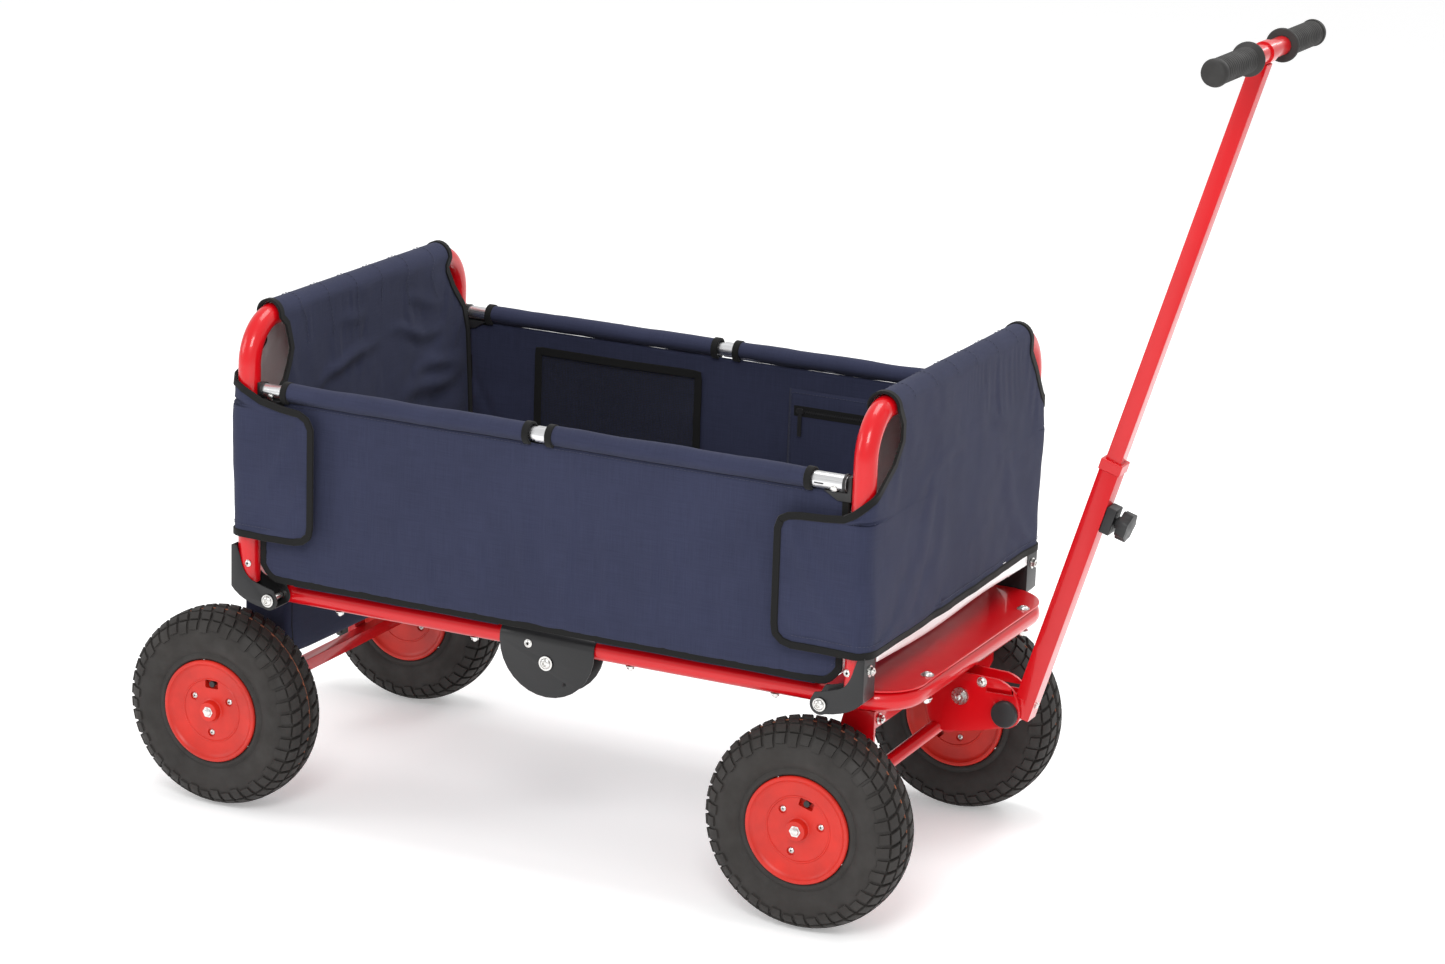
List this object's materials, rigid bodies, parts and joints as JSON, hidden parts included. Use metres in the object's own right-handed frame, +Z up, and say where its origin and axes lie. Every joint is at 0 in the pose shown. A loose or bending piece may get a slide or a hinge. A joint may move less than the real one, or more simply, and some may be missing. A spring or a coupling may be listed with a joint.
{
  "type": "folding pull wagon",
  "caption": "Folding children's pull wagon with fabric body, hinged tube frame, pneumatic tyres, steered front axle and telescoping pull handle.",
  "frame": {"origin": "middle of the bounding box in plan, on the ground under the tyres", "axes": "+X forward towards the pull handle, +Y to the wagon's left, +Z up"},
  "size_m": [1.3916, 0.5706, 1.0837],
  "materials": {
    "red_paint": "glossy red powder coat",
    "black_paint": "satin black powder coat",
    "rod_aluminium": "drawn, natural",
    "zinc_steel": "zinc plated",
    "black_plastic": "moulded, satin",
    "red_plastic": "moulded, slightly glossy orange red",
    "tyre_rubber": "black rubber with block tread",
    "grip_rubber": "ribbed soft rubber",
    "navy_fabric": "coated woven polyester with black binding",
    "floor_fabric": "coated woven polyester over a stiff board",
    "mesh_fabric": "open black mesh"
  },
  "bodies": {
    "rear_hoop": {"rear_hoop": "red_paint", "rear_rod_left": "rod_aluminium", "rear_rod_right": "rod_aluminium", "rear_rod_clevis_left": "black_plastic", "rear_rod_clevis_right": "black_plastic", "rear_hoop_bracket_left": "black_paint", "rear_hoop_bracket_right": "black_paint", "rear_hood": "navy_fabric", "side_panel_rear_left": "navy_fabric", "side_panel_rear_right": "navy_fabric", "mesh_pocket": "mesh_fabric"},
    "rear_frame": {"rear_frame_tube": "red_paint", "rear_deck_plate": "red_paint", "rear_floor": "floor_fabric", "rear_hoop_bolt_left": "zinc_steel", "rear_hoop_bolt_right": "zinc_steel", "rear_axle_beam": "red_paint", "rear_axle": "zinc_steel", "rear_bag": "navy_fabric", "hinge_saddle_left": "black_paint", "hinge_saddle_right": "black_paint", "hinge_bolt_left": "zinc_steel", "hinge_bolt_right": "zinc_steel"},
    "front_frame": {"front_frame_tube": "red_paint", "front_deck_plate": "red_paint", "front_floor": "floor_fabric", "front_hoop_bolt_left": "zinc_steel", "front_hoop_bolt_right": "zinc_steel", "kingpin_housing": "red_paint", "kingpin_bolt": "zinc_steel"},
    "front_hoop": {"front_hoop": "red_paint", "front_rod_left": "rod_aluminium", "front_rod_right": "rod_aluminium", "front_rod_clevis_left": "black_plastic", "front_rod_clevis_right": "black_plastic", "front_hoop_bracket_left": "black_paint", "front_hoop_bracket_right": "black_paint", "front_hood": "navy_fabric", "side_panel_front_left": "navy_fabric", "side_panel_front_right": "navy_fabric", "zip_pocket": "navy_fabric"},
    "zip_slider": {"zip_slider": "zinc_steel"},
    "steering": {"steering_yoke": "red_paint", "front_axle": "zinc_steel", "handle_pivot_bolt": "black_plastic"},
    "handle_lower": {"handle_lower_tube": "red_paint", "clamp_block": "black_plastic"},
    "handle_upper": {"handle_upper_tube": "red_paint", "handle_crossbar": "red_paint", "grip_left": "grip_rubber", "grip_right": "grip_rubber"},
    "clamp_knob": {"clamp_knob": "black_plastic"},
    "wheel_rear_left": {"rear_tyre_left": "tyre_rubber", "rear_rim_left": "red_plastic"},
    "wheel_rear_right": {"rear_tyre_right": "tyre_rubber", "rear_rim_right": "red_plastic"},
    "wheel_front_left": {"front_tyre_left": "tyre_rubber", "front_rim_left": "red_plastic"},
    "wheel_front_right": {"front_tyre_right": "tyre_rubber", "front_rim_right": "red_plastic"}
  },
  "joints": [
    {"name": "centre_fold", "type": "hinge", "parent": "rear_frame", "child": "front_frame", "pos_m": [-0.10178, 0, 0.2655], "axis": [0, 1, 0], "range_deg": [0, 72]},
    {"name": "rear_hoop_fold", "type": "hinge", "parent": "rear_hoop", "child": "rear_frame", "pos_m": [-0.48178, 0, 0.29], "axis": [0, -1, 0], "range_deg": [0, 36]},
    {"name": "front_hoop_fold", "type": "hinge", "parent": "front_frame", "child": "front_hoop", "pos_m": [0.27822, 0, 0.29], "axis": [0, -1, 0], "range_deg": [0, 36]},
    {"name": "steering", "type": "hinge", "parent": "front_frame", "child": "steering", "pos_m": [0.29822, 0, 0.251], "axis": [0, 0, 1], "range_deg": [-35, 35]},
    {"name": "handle_tilt", "type": "hinge", "parent": "steering", "child": "handle_lower", "pos_m": [0.41322, 0, 0.228], "axis": [0, -1, 0], "range_deg": [-80, 16]},
    {"name": "handle_telescope", "type": "slide", "parent": "handle_lower", "child": "handle_upper", "axis": [-0.2823, 0, -0.9593], "range_m": [0, 0.265]},
    {"name": "clamp_knob_turn", "type": "hinge", "parent": "handle_lower", "child": "clamp_knob", "pos_m": [0.54052, 0, 0.48345], "axis": [0.9593, 0, -0.2823], "range_deg": [0, 270]},
    {"name": "zip_slide", "type": "slide", "parent": "front_hoop", "child": "zip_slider", "axis": [1, 0, 0], "range_m": [0, 0.128]},
    {"name": "wheel_rear_left_spin", "type": "hinge", "parent": "rear_frame", "child": "wheel_rear_left", "pos_m": [-0.56578, 0.242, 0.13], "axis": [0, 1, 0], "continuous": true},
    {"name": "wheel_rear_right_spin", "type": "hinge", "parent": "rear_frame", "child": "wheel_rear_right", "pos_m": [-0.56578, -0.242, 0.13], "axis": [0, 1, 0], "continuous": true},
    {"name": "wheel_front_left_spin", "type": "hinge", "parent": "steering", "child": "wheel_front_left", "pos_m": [0.25722, 0.242, 0.13], "axis": [0, 1, 0], "continuous": true},
    {"name": "wheel_front_right_spin", "type": "hinge", "parent": "steering", "child": "wheel_front_right", "pos_m": [0.25722, -0.242, 0.13], "axis": [0, 1, 0], "continuous": true}
  ],
  "couplings": [
    {"joint": "rear_hoop_fold", "follows": "centre_fold", "ratio": 0.5},
    {"joint": "front_hoop_fold", "follows": "centre_fold", "ratio": 0.5}
  ]
}
